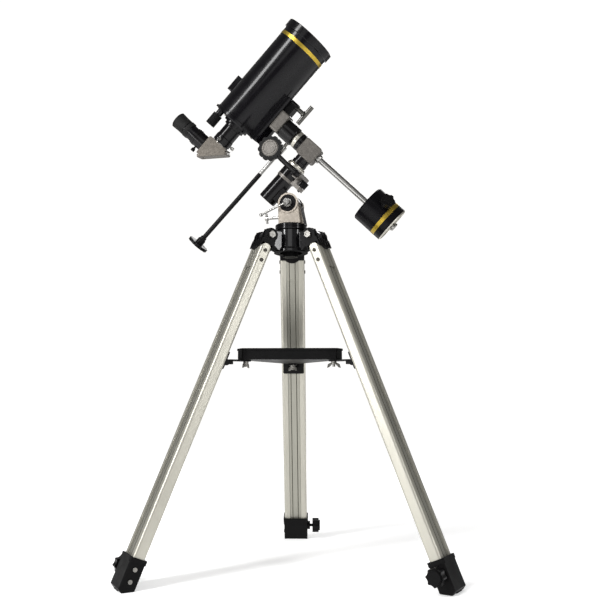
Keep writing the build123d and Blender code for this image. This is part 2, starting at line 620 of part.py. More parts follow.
def dovetail(gap):
    """Dovetail section along X: the bar at gap 0, its groove with a gap round it."""
    low = DOVETAIL_LOW - gap
    high = FOOT_LOW + gap
    wide = 9.5 + gap
    narrow = 7.5 + gap
    section = ((-wide, low), (wide, low), (narrow, high), (-narrow, high))
    face = Plane.YZ * make_face(Polyline(*section, close=True))
    return Pos(-70, 0, 0) * extrude(face, 140)


def saddle_clamp_bolt():
    """Tee-handled bolt that presses the dovetail bar into the saddle."""
    handle = 56.0
    bolt = rod(4.5, handle + 5, DOVETAIL_LOW - 0.3, CLAMP_X) + rod(6.5, handle + 2, handle + 6, CLAMP_X)
    return bolt + rod_x(4.6, CLAMP_X - 22, CLAMP_X + 22, 0, handle)


def counterweight_rod():
    """Steel rod screwed into the T-block, with its lock nut and a threaded hole in its end."""
    low = -ROD_END
    return turned((0, -10), (ROD_R, -10), (ROD_R, -21), (9.5, -21), (9.5, -24), (8.5, -26.5), (ROD_R, -26.5),
                  (ROD_R, low + 0.8), (ROD_R - 0.8, low), (3.05, low), (3.05, low + 14), (0, low + 14))


def counterweight():
    """Cylindrical weight with a recessed lower face and a clamp screw boss."""
    low = -WEIGHT_LOW
    high = low + WEIGHT_LENGTH
    bore = ROD_R + FIT
    weight = turned((bore, low + 1.2), (WEIGHT_R - 5, low + 1.2), (WEIGHT_R - 5, low), (WEIGHT_R - 2, low),
                    (WEIGHT_R, low + 2), (WEIGHT_R, high - 2.5), (WEIGHT_R - 2.5, high), (bore, high))
    place = Pos(0, 0, -WEIGHT_KNOB_AT) * Rot(0, 0, WEIGHT_KNOB_ANGLE)
    weight += place * rod_x(8.5, WEIGHT_R - 4, WEIGHT_R + 3)
    weight -= place * rod_x(4.1, 0, WEIGHT_R + 5)
    return weight - rod(bore, low - 1, high + 1)


def counterweight_lock_knob():
    """Clamp screw of the counterweight, with a lobed knob."""
    low = WEIGHT_R + 6
    knob = Rot(0, 90, 0) * (fluted(13.5, low, low + 13, 6, 7, 2.2) + rod(9, low + 12, low + 15))
    place = Pos(0, 0, -WEIGHT_KNOB_AT) * Rot(0, 0, WEIGHT_KNOB_ANGLE)
    return place * (knob + rod_x(4.0, ROD_R + 0.5, low + 2))


def rod_end_screw():
    """Safety screw in the end of the rod."""
    head = -ROD_END - 0.5
    screw = rod(3.0, head, head + 12.5)
    screw += turned((0, head - 5), (7.5, head - 5), (9.0, head - 3.5), (9.0, head), (0, head))
    return screw - block((-6, 6), (-0.7, 0.7), (head - 6.5, head - 3.8))


# ---------------------------------------------------------------- optical tube
def optical_tube():
    """Rolled tube between the two cells."""
    low = TUBE_REAR + REAR_CELL_LENGTH - 3
    high = TUBE_FRONT - FRONT_CELL_LENGTH + 3
    return rod(TUBE_R, low, high) - rod(TUBE_R - TUBE_WALL, low - 1, high + 1)


def front_cell():
    """Ribbed cell that holds the corrector."""
    back = TUBE_FRONT - FRONT_CELL_LENGTH
    wide = FRONT_CELL_R
    seat = APERTURE_R + 2
    inside = TUBE_R - TUBE_WALL
    mouth = ((wide, back + 1), (wide, TUBE_FRONT - 1), (wide - 1, TUBE_FRONT), (wide - 4, TUBE_FRONT),
             (APERTURE_R + 0.5, TUBE_FRONT - 5), (APERTURE_R + 0.5, TUBE_FRONT - 6.5))
    lining = ((seat, TUBE_FRONT - 6.5), (seat, back - 2), (inside, back - 2), (inside, back + 3))
    cell = turned((TUBE_R, back), (wide - 1, back), *mouth, *lining, (TUBE_R, back + 3))
    for rib in range(4):
        low = back + 3.0 + rib * 3.0
        high = low + 1.2
        cell -= turned((wide - 0.7, low), (wide + 1, low), (wide + 1, high), (wide - 0.7, high))
    return cell


def corrector_lens():
    """Deep meniscus that closes the front of the tube, hollow side out."""
    edge = APERTURE_R + 1.8
    front = TUBE_FRONT - 7.0
    sag = 7.0
    thickness = 9.0
    radius = (edge ** 2 + sag ** 2) / (2 * sag)
    hollow = Pos(0, 0, front - sag + radius) * Sphere(radius)
    dome = Pos(0, 0, front - sag - thickness + radius + 4) * Sphere(radius + 4)
    return (rod(edge, front - 25, front) & dome) - hollow


def rear_cell():
    """Back plate with the baffle tube, the port ring, a lug and the focus shaft's bush."""
    step = TUBE_REAR + REAR_CELL_LENGTH
    port = TUBE_REAR - 6
    inside = TUBE_R - TUBE_WALL
    baffle_end = 60.0
    cell = turned((BAFFLE_R - 2, port), (26, port), (27, port + 1), (27, TUBE_REAR),
                  (REAR_CELL_R - 2.5, TUBE_REAR), (REAR_CELL_R, TUBE_REAR + 2.5), (REAR_CELL_R, step - 1),
                  (REAR_CELL_R - 1, step), (TUBE_R, step), (TUBE_R, step - 3), (inside, step - 3),
                  (inside, TUBE_REAR + 5), (BAFFLE_R, TUBE_REAR + 5), (BAFFLE_R, baffle_end),
                  (BAFFLE_R - 2, baffle_end))
    cell += block((-REAR_CELL_R - 4, -REAR_CELL_R + 4), (-6, 6), (TUBE_REAR + 1, step - 3.2))
    cell += rod(7.0, TUBE_REAR - 9.6, TUBE_REAR + 1, *FOCUS_AT)
    return cell - rod(FOCUS_SHAFT_R + FIT, TUBE_REAR - 12, TUBE_REAR + 8, *FOCUS_AT)


def primary_mirror():
    """Primary mirror, hollow side forward, that slides on the baffle tube to focus."""
    back = TUBE_REAR + 6.5 + MIRROR_TRAVEL
    rim = back + 11.0
    bore = BAFFLE_R + 0.1
    edge = 46.0
    hollow = 3.0
    face = make_face([Line((bore, back), (edge, back)), Line((edge, back), (edge, rim)),
                      ThreePointArc((edge, rim), (30, rim - hollow * 0.62), (bore, rim - hollow)),
                      Line((bore, rim - hollow), (bore, back))])
    return revolve(Plane.XZ * face, Axis.Z) - rod(FOCUS_SHAFT_R + 0.1, back - 1, rim + 3, *FOCUS_AT)


def focus_knob():
    """Ribbed focus knob with the screw that moves the mirror."""
    low = TUBE_REAR - 36
    knob = fluted(FOCUS_KNOB_R, low, low + 26, 20, 1.1, 0.9)
    shaft = rod(FOCUS_SHAFT_R, low + 20, TUBE_REAR + 19)
    return Pos(*FOCUS_AT, 0) * (knob + shaft)


def visual_back():
    """Adapter on the rear port that takes the diagonal's barrel."""
    ring = TUBE_REAR - 6
    adapter = turned((BORE_R, BACK_END), (18.2, BACK_END), (19.0, BACK_END + 1), (19.0, BACK_END + 14),
                     (18.0, BACK_END + 15.5), (18.0, ring - 6), (21.5, ring - 5), (21.5, ring),
                     (BORE_R, ring))
    hole = rod_y(1.85, -25, 0, 0, BACK_END + 7)
    return adapter - hole - Rot(0, 0, 120) * hole


def thumbscrew(low, high, shaft_r, knob_r, knob_length):
    """Small knurled thumbscrew along Z, its tip at low and its knob ending at high."""
    neck = high - knob_length
    screw = fluted(knob_r, neck, high, 10, 0.7, 0.5) + rod(shaft_r, low, neck + 0.5)
    return screw + rod(shaft_r + 0.9, neck - 2, neck + 0.5)


def visual_back_screws():
    """The two thumbscrews that hold the diagonal's barrel."""
    screw = Pos(0, 0, BACK_END + 7) * Rot(90, 0, 0) * thumbscrew(BARREL_R + 0.3, 28, 1.8, 3.6, 5)
    return screw, Rot(0, 0, 120) * screw


def dovetail_foot():
    """Black shoe between tube and saddle: cradle, grooves and the dovetail bar."""
    low_x = -58.0
    high_x = 49.0
    cell_edge = TUBE_REAR + REAR_CELL_LENGTH
    foot = block((low_x, high_x), (-29, 29), (FOOT_LOW, TUBE_HEIGHT - 40))
    foot = chamfer(foot.edges().filter_by(Axis.X).group_by(Axis.Z)[0], 3.0)
    foot += dovetail(0) & block((low_x, high_x), (-20, 20), (DOVETAIL_LOW - 5, FOOT_LOW + 5))
    foot += block((high_x - 1, high_x + 2.5), (-9, 9), (FOOT_LOW, TUBE_HEIGHT - 46))
    foot -= rod_x(TUBE_R, -100, 100, 0, TUBE_HEIGHT)
    foot -= rod_x(REAR_CELL_R + 0.1, -100, cell_edge + 0.1, 0, TUBE_HEIGHT)
    for side in (-1, 1):
        for line in (FOOT_LOW + 6, FOOT_LOW + 11):
            foot -= block((low_x - 1, high_x + 1), sorted((side * 27.6, side * 31)), (line - 1, line + 1))
    return foot


def finder_shoe():
    """Empty shoe for a finder on the side away from the mount."""
    seat = -TUBE_R + 2
    face = seat - 10.5
    low = -18.0
    high = 16.0
    shoe = block((face, seat), (-13, 13), (low, high))
    shoe = fillet(shoe.edges().filter_by(Axis.X), 2.5)
    shoe -= rod(TUBE_R, low - 5, high + 5)
    floor = seat - 4.6
    outline = make_face(Polyline((face - 1, -7), (face - 1, 7), (floor, 9.5), (floor, -9.5), close=True))
    return shoe - Pos(0, 0, low - 1) * extrude(outline, high - low + 2)


# ---------------------------------------------------------------- diagonal and eyepiece
def diagonal_body():
    """Right-angled body with its barrel to the tube and the eyepiece holder."""
    leg = DIAGONAL_LEG
    cut = leg - COVER_OFFSET * sqrt(2)
    body = plate_xz(((-leg, leg), (leg, leg), (leg, -leg), (cut, -leg), (-leg, cut)), -17.5, 17.5)
    body = fillet(body.edges().filter_by(Axis.Y).sort_by(lambda e: -e.center().X - e.center().Z)[:1], 4.0)
    body += rod(BARREL_R, leg - 0.5, leg + 32)
    body += rod_x(17.4, leg - 0.5, leg + 4) + rod_x(16.8, leg + 4, leg + 26)
    body += rod_x(17.6, leg + 21, leg + 26)
    body -= rod(13.8, 0, leg + 40)
    body -= rod_x(13.8, 0, leg + 1)
    body -= rod_x(BORE_R, leg + 0.5, leg + 40)
    body -= Rot(0, 45, 0) * block((-23, 23), (-15, 15), (-COVER_OFFSET - 2, 0.6))
    return body - Pos(leg + 14, 0, 0) * rod(1.85, -25, 0)


def diagonal_mirror():
    """Flat mirror at 45 degrees inside the diagonal, its face through the bend."""
    return Rot(0, 45, 0) * block((-22.5, 22.5), (-14.5, 14.5), (-COVER_OFFSET + 0.2, 0))


def diagonal_cover():
    """Cover plate over the back of the diagonal, with its screw."""
    outer = -COVER_OFFSET - 6.2
    plate = block((-31, 31), (-19, 19), (outer, -COVER_OFFSET))
    plate = fillet(plate.edges().filter_by(Axis.Z), 5.0)
    plate = fillet(plate.edges().group_by(Axis.Z)[0], 1.5)
    return Rot(0, 45, 0) * (plate + rod(2.6, outer - 1.4, outer, 21, 0))


def eyepiece():
    """Eyepiece body with its barrel in the holder."""
    start = EYEPIECE_AT
    barrel = ((12.8, start - 22), (BARREL_R - 0.6, start - 22), (BARREL_R, start - 21.4), (BARREL_R, start))
    grip = ((16.8, start), (16.8, start + 3), (15.4, start + 4), (15.4, start + 13), (16.2, start + 14),
            (16.2, start + 25), (15.2, start + 25.4))
    top = ((15.2, start + 30), (13.0, start + 40), (9.0, start + 40), (9.0, start + 36), (12.8, start + 26))
    return Rot(0, 90, 0) * turned(*barrel, *grip, *top)


def eyecup():
    """Flared rubber eyecup on the eyepiece."""
    low = EYEPIECE_AT + 26
    outline = ((15.3, low), (16.2, low), (16.2, low + 10), (17.0, low + 25), (15.8, low + 26),
               (14.8, low + 19), (13.6, low + 14.5), (13.1, low + 14), (15.3, low + 4))
    return Rot(0, 90, 0) * turned(*outline)


def eyepiece_lens():
    """Eye lens and field lens inside the eyepiece."""
    eye = Rot(0, 90, 0) * rod(8.95, EYEPIECE_AT + 36.2, EYEPIECE_AT + 39.5)
    field = Rot(0, 90, 0) * rod(12.7, EYEPIECE_AT + 18, EYEPIECE_AT + 23)
    return eye, field


def eyepiece_screw():
    """Thumbscrew that holds the eyepiece in the holder."""
    screw = Rot(180, 0, 0) * thumbscrew(BARREL_R + 0.3, 27.5, 1.8, 4.0, 6)
    return Pos(DIAGONAL_LEG + 14, 0, 0) * screw


# ---------------------------------------------------------------- writing the nodes
def write_tripod():
    save("tripod_hub", TRIPOD, tripod_hub())
    save("leg_tops", TRIPOD, *[leg * leg_top() for leg in LEG])
    save("leg_lock_housings", TRIPOD, *[leg * lock_housing() for leg in LEG])
    for name, leg in zip(LEG_NAMES, LEG):
        save(f"leg_{name}_rails", leg, *rail_pair())
        save(f"leg_{name}_inner", leg, *inner_leg())
        save(f"leg_{name}_lock_knob", leg, *lock_knob())
    save("tray_brackets", TRIPOD, *[leg * piece for leg in LEG for piece in tray_bracket()])
    turns = [Location((0, 0, 0), (0, 0, angle)) for angle in LEG_ANGLES]
    save("tray_links", TRIPOD, *[turn * tray_link() for turn in turns])
    tray_nuts = [turn * piece for turn in turns for piece in tray_wing_nut()]
    save("tripod_fasteners", TRIPOD, *leg_fasteners(), *tray_nuts)
    save("accessory_tray", TRIPOD, accessory_tray())


def write_head():
    save("head_centre_bolt", TRIPOD, head_centre_bolt())
    save("azimuth_yoke", HEAD, azimuth_yoke())
    save("latitude_lock_lever", HEAD, latitude_lock())
    save("latitude_screw", HEAD, latitude_screw())
    save("polar_housing", LAT, polar_housing())
    save("ra_worm_bracket", LAT, ra_worm_bracket())
    save("ra_clamp_knob", LAT, *ra_clamp_knob())
    save("ra_shaft", RA, ra_shaft())
    save("ra_worm_wheel", RA, Rot(0, 90, 0) * wheel(RA_WORM_X - 5.1, RA_WORM_X + 5.1, RA_SHAFT_R))
    save("ra_setting_circle", RA, Rot(0, 90, 0) * setting_circle(15.0, 20.0, COVER_HIGH + 0.6, -37.0))
    ra_worm_place = POLAR * Location((RA_WORM_X, 0, -WORM_OFFSET)) * Location((0, 0, 0), (90, 0, 0))
    save("ra_worm", ra_worm_place, worm(24.0))
    save("ra_cable", ra_worm_place, control_cable(RA_CABLE_FACE))
    save("ra_cable_knob", ra_worm_place, control_knob(RA_CABLE_FACE))
    save("t_block", RA, t_block())
    save("dec_housing", RA, dec_housing())
    save("dec_setting_circle", RA, setting_circle(15.0, 18.0, 30.5, 40.5))
    dec_worm_place = RA * Location((0, WORM_OFFSET, DEC_WORM_Z)) * Location((0, 0, 0), (0, -90, 0))
    save("dec_worm", dec_worm_place, worm(16.5))
    save("dec_cable", dec_worm_place, control_cable(DEC_CABLE_FACE))
    save("dec_cable_knob", dec_worm_place, control_knob(DEC_CABLE_FACE))
    save("dec_shaft", DEC, dec_shaft())
    save("dec_worm_wheel", DEC, wheel(DEC_WORM_Z - 5.5, DEC_WORM_Z + 5.5, DEC_SHAFT_R))
    save("saddle", DEC, saddle())
    save("saddle_clamp_bolt", DEC, saddle_clamp_bolt())
    save("counterweight_rod", RA, counterweight_rod())
    save("counterweight", RA, counterweight())
    save("counterweight_lock_knob", RA, counterweight_lock_knob())
    save("rod_end_screw", RA, rod_end_screw())


def write_telescope():
    save("optical_tube", OTA, optical_tube())
    save("front_cell", OTA, front_cell())
    save("corrector_lens", OTA, corrector_lens())
    save("rear_cell", OTA, rear_cell())
    save("primary_mirror", OTA, primary_mirror())
    save("focus_knob", OTA, focus_knob())
    save("visual_back", OTA, visual_back())
    save("visual_back_screws", OTA, *visual_back_screws())
    save("dovetail_foot", DEC, dovetail_foot())
    save("finder_shoe", OTA, finder_shoe())
    save("diagonal_body", DIAG, diagonal_body())
    save("diagonal_mirror", DIAG, diagonal_mirror())
    save("diagonal_cover", DIAG, diagonal_cover())
    save("eyepiece", DIAG, eyepiece())
    save("eyecup", DIAG, eyecup())
    save("eyepiece_lens", DIAG, *eyepiece_lens())
    save("eyepiece_screw", DIAG, eyepiece_screw())


write_tripod()
write_head()
write_telescope()
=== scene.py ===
"""Looks of the small Maksutov telescope on its equatorial mount, in metres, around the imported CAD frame."""

import json
from math import cos, pi, radians, sin

import bpy
import bmesh
from mathutils import Matrix, Vector


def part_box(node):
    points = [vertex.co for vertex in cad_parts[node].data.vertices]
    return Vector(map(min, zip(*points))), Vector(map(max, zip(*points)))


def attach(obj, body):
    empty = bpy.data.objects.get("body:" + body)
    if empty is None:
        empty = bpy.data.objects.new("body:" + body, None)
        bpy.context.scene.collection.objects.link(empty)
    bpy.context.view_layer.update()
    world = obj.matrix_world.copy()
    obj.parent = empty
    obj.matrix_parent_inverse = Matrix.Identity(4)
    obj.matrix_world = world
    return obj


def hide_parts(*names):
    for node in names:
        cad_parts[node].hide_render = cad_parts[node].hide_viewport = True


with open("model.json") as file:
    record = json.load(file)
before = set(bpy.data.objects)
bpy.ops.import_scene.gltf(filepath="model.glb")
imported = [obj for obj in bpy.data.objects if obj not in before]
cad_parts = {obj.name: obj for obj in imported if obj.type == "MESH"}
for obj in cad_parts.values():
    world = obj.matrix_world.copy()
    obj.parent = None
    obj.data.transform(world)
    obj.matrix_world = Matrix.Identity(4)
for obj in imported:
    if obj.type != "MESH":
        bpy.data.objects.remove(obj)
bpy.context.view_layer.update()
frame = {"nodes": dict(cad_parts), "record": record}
NODES = frame["nodes"]
JOINTS = {joint["name"]: joint for joint in frame["record"]["behaviour"]["joints"]}
MM = 0.001


# ---------------------------------------------------------------- local frames, read from the joints
def point(joint):
    return Vector(JOINTS[joint]["pos_m"])


def direction(joint):
    return Vector(JOINTS[joint]["axis"]).normalized()


def place(origin, x, z):
    """Matrix of a frame from its origin, X and Z."""
    z = z.normalized()
    y = z.cross(x).normalized()
    x = y.cross(z)
    return Matrix.Translation(origin) @ Matrix((x, y, z)).transposed().to_4x4()


def foot_on(origin, start, along):
    """The point of a line nearest to origin."""
    return start + along * (origin - start).dot(along)


HUB = point("centre_bolt_turn")
CROSSING = point("right_ascension")
POLE = direction("right_ascension")
UPWARD = direction("declination")
TUBE_DIR = direction("diagonal_turn")
EYE_DIR = direction("eyepiece_slide")
TUBE_AT = foot_on(CROSSING, point("diagonal_turn"), TUBE_DIR)
RA_CIRCLE = place(CROSSING, UPWARD, POLE)
DEC_CIRCLE = place(CROSSING, POLE, UPWARD)
TUBE = place(TUBE_AT, EYE_DIR, TUBE_DIR)
RA_DRIVE = place(point("ra_slow_motion"), POLE, direction("ra_slow_motion"))
DEC_DRIVE = place(point("dec_slow_motion"), UPWARD, direction("dec_slow_motion"))
LEGS = {name: direction(f"leg_{name}_extend") for name in "abc"}


def span(node, matrix):
    """Lowest and highest corner of a CAD node in a local frame, in metres."""
    back = matrix.inverted()
    points = [back @ v.co for v in NODES[node].data.vertices]
    low = Vector([min(p[i] for p in points) for i in range(3)])
    high = Vector([max(p[i] for p in points) for i in range(3)])
    return low, high


def heights(node, matrix):
    """Lowest and highest local Z of a CAD node, in mm."""
    low, high = span(node, matrix)
    return low.z * 1000, high.z * 1000


eyepiece_low, eyepiece_high = span("eyepiece", TUBE)
EYE = place(TUBE_AT + TUBE_DIR * (eyepiece_low.z + eyepiece_high.z) / 2, TUBE_DIR, EYE_DIR)


# ---------------------------------------------------------------- material kit
class Paint:
    """A Principled material with object coordinates, built step by step."""

    def __init__(self, name, colour, rough, metal=0.0, **sockets):
        self.material = bpy.data.materials.new(name)
        self.material.use_nodes = True
        self.tree = self.material.node_tree
        self.shader = self.tree.nodes["Principled BSDF"]
        self.colour = (*colour, 1.0)
        self.shader.inputs["Base Color"].default_value = self.colour
        self.shader.inputs["Roughness"].default_value = rough
        self.shader.inputs["Metallic"].default_value = metal
        for socket, value in sockets.items():
            self.shader.inputs[socket.replace("_", " ")].default_value = value
        self.rough = rough
        self.coords = self.node("ShaderNodeTexCoord").outputs["Object"]
        self.normal = None

    def node(self, kind, **settings):
        node = self.tree.nodes.new(kind)
        for key, value in settings.items():
            setattr(node, key, value)
        return node

    def link(self, output, target):
        self.tree.links.new(output, target)

    def turned(self, axis, stretch):
        """Coordinates with local Z along an axis, scaled down along it, for brushed or rolled metal."""
        mapping = self.node("ShaderNodeMapping", vector_type="TEXTURE")
        turn = Vector(axis).to_track_quat("Z", "Y").to_euler()
        mapping.inputs["Rotation"].default_value = turn
        scale = self.node("ShaderNodeMapping")
        scale.inputs["Scale"].default_value = (1, 1, stretch)
        self.link(self.coords, mapping.inputs["Vector"])
        self.link(mapping.outputs["Vector"], scale.inputs["Vector"])
        return scale.outputs["Vector"]

    def noise(self, scale, detail=3.0, coords=None):
        noise = self.node("ShaderNodeTexNoise")
        noise.inputs["Scale"].default_value = scale
        noise.inputs["Detail"].default_value = detail
        self.link(coords or self.coords, noise.inputs["Vector"])
        return noise.outputs["Fac"]

    def cells(self, scale, coords=None):
        cells = self.node("ShaderNodeTexVoronoi", feature="SMOOTH_F1")
        cells.inputs["Scale"].default_value = scale
        self.link(coords or self.coords, cells.inputs["Vector"])
        return cells.outputs["Distance"]

    def spread(self, value, low, high, at_low=0.3, at_high=0.7):
        """Maps a texture value between two numbers."""
        mapped = self.node("ShaderNodeMapRange")
        ends = (("From Min", at_low), ("From Max", at_high), ("To Min", low), ("To Max", high))
        for socket, number in ends:
            mapped.inputs[socket].default_value = number
        self.link(value, mapped.inputs["Value"])
        return mapped.outputs["Result"]

    def vary_rough(self, value, low, high):
        self.link(self.spread(value, low, high), self.shader.inputs["Roughness"])
        return self

    def vary_colour(self, value, other, at_low=0.35, at_high=0.65):
        """Blends from the base colour to another one by a texture value."""
        ramp = self.node("ShaderNodeValToRGB")
        ramp.color_ramp.elements[0].position = at_low
        ramp.color_ramp.elements[1].position = at_high
        ramp.color_ramp.elements[0].color = self.colour
        ramp.color_ramp.elements[1].color = (*other, 1.0)
        self.link(value, ramp.inputs["Fac"])
        self.link(ramp.outputs["Color"], self.shader.inputs["Base Color"])
        return self

    def worn(self, other, amount=0.35):
        """Lets a second colour show on outer edges, as rubbed paint does."""
        geometry = self.node("ShaderNodeNewGeometry")
        edge = self.spread(geometry.outputs["Pointiness"], 0.0, amount, 0.52, 0.6)
        mix = self.node("ShaderNodeMix", data_type="RGBA")
        colour = self.shader.inputs["Base Color"]
        if colour.is_linked:
            self.link(colour.links[0].from_socket, mix.inputs["A"])
        else:
            mix.inputs["A"].default_value = self.colour
        mix.inputs["B"].default_value = (*other, 1.0)
        self.link(edge, mix.inputs["Factor"])
        self.link(mix.outputs["Result"], colour)
        return self

    def bump(self, value, depth, strength=1.0):
        bump = self.node("ShaderNodeBump")
        bump.inputs["Distance"].default_value = depth
        bump.inputs["Strength"].default_value = strength
        self.link(value, bump.inputs["Height"])
        if self.normal:
            self.link(self.normal, bump.inputs["Normal"])
        self.normal = bump.outputs["Normal"]
        self.link(self.normal, self.shader.inputs["Normal"])
        return self

    def soft_edges(self, radius=0.0004):
        bevel = self.node("ShaderNodeBevel", samples=4)
        bevel.inputs["Radius"].default_value = radius
        self.normal = bevel.outputs["Normal"]
        self.link(self.normal, self.shader.inputs["Normal"])
        return self


def black_paint(name, colour, rough, coat):
    """Satin black lacquer with slight orange peel."""
    paint = Paint(name, colour, rough, Coat_Weight=coat, Coat_Roughness=0.12, Specular_IOR_Level=0.07)
    paint.soft_edges()
    paint.vary_rough(paint.noise(60.0, 4.0), rough - 0.05, rough + 0.08)
    paint.vary_colour(paint.noise(9.0), (colour[0] * 1.6, colour[1] * 1.5, colour[2] * 1.7))
    return paint.bump(paint.noise(1100.0, 2.0), 0.00003, 0.5)


def moulded_black(name, rough=0.46):
    """Moulded plastic with a fine spark-eroded grain."""
    paint = Paint(name, (0.0024, 0.0024, 0.0026), rough, Specular_IOR_Level=0.10).soft_edges()
    paint.vary_rough(paint.noise(40.0, 4.0), rough - 0.07, rough + 0.1)
    paint.vary_colour(paint.noise(14.0), (0.0042, 0.0040, 0.0042))
    return paint.bump(paint.noise(2200.0, 2.0), 0.00006, 0.6)


def hammered(name, colour, other):
    """Grey hammer-finish paint on a casting: dimples, slightly metallic, rubbed on the edges."""
    paint = Paint(name, colour, 0.40, 0.45, Coat_Weight=0.15, Coat_Roughness=0.25).soft_edges(0.0006)
    dimples = paint.cells(520.0)
    paint.vary_colour(paint.noise(160.0, 5.0), other)
    paint.vary_rough(paint.noise(300.0), 0.34, 0.52)
    paint.worn([channel * 1.9 for channel in colour], 0.3)
    return paint.bump(dimples, 0.00022, 0.7).bump(paint.noise(1400.0), 0.00004, 0.5)


def brushed(name, axis, colour, other, low=0.26, high=0.42, metal=1.0, scale=1500.0, stretch=0.012):
    """Metal with fine lines along an axis, as extruded or drawn."""
    paint = Paint(name, colour, low, metal).soft_edges()
    lines = paint.noise(scale, 3.0, paint.turned(axis, stretch))
    paint.vary_rough(lines, low, high)
    paint.vary_colour(paint.noise(26.0, 4.0, paint.turned(axis, 0.2)), other)
    return paint.bump(lines, 0.00003, 0.5)


def machined(name, colour, rough, other, metal=1.0, depth=0.00002):
    """Turned or plated metal with faint random tool marks."""
    paint = Paint(name, colour, rough, metal).soft_edges(0.00025)
    paint.vary_rough(paint.noise(350.0, 5.0), max(rough - 0.06, 0.03), rough + 0.1)
    paint.vary_colour(paint.noise(45.0, 3.0), other)
    return paint.bump(paint.noise(1800.0, 2.0), depth, 0.4)


tube_black = black_paint("tube_black", (0.0012, 0.0010, 0.0016), 0.27, 0.32)
hub_black = black_paint("hub_black", (0.0025, 0.0025, 0.0027), 0.20, 0.9)
casting_black = black_paint("casting_black", (0.0022, 0.0020, 0.0022), 0.26, 0.34)
jacket = black_paint("cable_jacket", (0.0034, 0.0033, 0.0034), 0.36, 0.1)
weight_black = black_paint("weight_black", (0.0015, 0.0014, 0.0018), 0.34, 0.08)
plastic = moulded_black("moulded_black")
matte_black = moulded_black("hub_underside", 0.72)
knob_plastic = moulded_black("knob_black", 0.38)
grey = hammered("casting_grey", (0.085, 0.078, 0.070), (0.115, 0.106, 0.095))
warm_grey = hammered("diagonal_grey", (0.098, 0.086, 0.072), (0.128, 0.113, 0.095))
# painted highlight: a lighter, warmer copy of the grey casting paint, for the yoke's ears where the light
# falls
grey_painted_highlight = hammered("casting_grey_painted_highlight", (0.20, 0.175, 0.145), (0.25, 0.222, 0.186))
leg_metal = {}
for name, axis in LEGS.items():
    leg_metal[name] = brushed(f"leg_{name}_aluminium", axis, (0.50, 0.485, 0.425), (0.44, 0.428, 0.375),
                              0.34, 0.48, 0.72)
inner_metal = {}
for name, axis in LEGS.items():
    inner_metal[name] = brushed(f"inner_{name}_aluminium", axis, (0.36, 0.352, 0.305), (0.31, 0.303, 0.265),
                                0.34, 0.5, 0.72)
groove_shade = machined("groove_shade", (0.075, 0.072, 0.055), 0.5, (0.06, 0.058, 0.045))
zinc = machined("fastener_steel", (0.30, 0.29, 0.27), 0.38, (0.23, 0.225, 0.21))
chrome = machined("bright_chrome", (0.36, 0.355, 0.34), 0.18, (0.29, 0.286, 0.275), depth=0.000008)
screw_black = machined("screw_black", (0.050, 0.046, 0.040), 0.34, (0.034, 0.032, 0.029))
dark_steel = machined("dark_steel", (0.11, 0.108, 0.10), 0.22, (0.08, 0.078, 0.073))
bar_steel = brushed("bar_steel", UPWARD, (0.40, 0.395, 0.38), (0.33, 0.325, 0.315), 0.16, 0.28, stretch=0.03)
silver = machined("circle_silver", (0.62, 0.60, 0.53), 0.34, (0.53, 0.51, 0.45))
brass = machined("brass_gear", (0.72, 0.53, 0.25), 0.32, (0.62, 0.45, 0.20))
gold = machined("gold_band", (0.50, 0.36, 0.055), 0.34, (0.36, 0.25, 0.035))
ink = Paint("scale_ink", (0.012, 0.012, 0.013), 0.5)
ink.vary_rough(ink.noise(900.0), 0.42, 0.6)
rubber = Paint("eyecup_rubber", (0.004, 0.004, 0.004), 0.6, Specular_IOR_Level=0.18, Sheen_Weight=0.02)
rubber.soft_edges()
rubber.vary_colour(rubber.noise(120.0, 5.0), (0.007, 0.0068, 0.0065))
rubber.bump(rubber.noise(1600.0, 3.0), 0.00008, 0.6)
mirror = Paint("optic_mirror", (0.90, 0.91, 0.92), 0.03, 1.0)
mirror.vary_rough(mirror.noise(30.0), 0.02, 0.05)
glass = Paint("optic_glass", (0.80, 0.95, 0.88), 0.02, Transmission_Weight=1.0, IOR=1.5, Coat_Weight=0.6)
glass.vary_rough(glass.noise(25.0), 0.01, 0.03)


def coat(node, *paints):
    """Gives a CAD node its materials, the first one everywhere."""
    mesh = NODES[node].data
    mesh.materials.clear()
    for paint in paints:
        mesh.materials.append(paint.material)
    for face in mesh.polygons:
        face.material_index = 0
    return mesh


def pick(mesh, index, test):
    """Gives the faces whose centre and normal pass a test another of the node's materials."""
    for face in mesh.polygons:
        if test(face.center, face.normal):
            face.material_index = index


# ---------------------------------------------------------------- mesh kit
def mesh_object(name, vertices, faces, matrix, paint, smooth=True):
    mesh = bpy.data.meshes.new(name)
    mesh.from_pydata([matrix @ Vector(v) for v in vertices], [], faces)
    mesh.materials.append(paint.material)
    mesh.update()
    bm = bmesh.new()
    bm.from_mesh(mesh)
    bmesh.ops.recalc_face_normals(bm, faces=bm.faces)
    bm.to_mesh(mesh)
    bm.free()
    if smooth:
        mesh.shade_smooth()
        mesh.set_sharp_from_angle(angle=radians(32))
    piece = bpy.data.objects.new(name, mesh)
    bpy.context.collection.objects.link(piece)
    return piece


def ready(piece, body):
    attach(piece, body)
    return piece


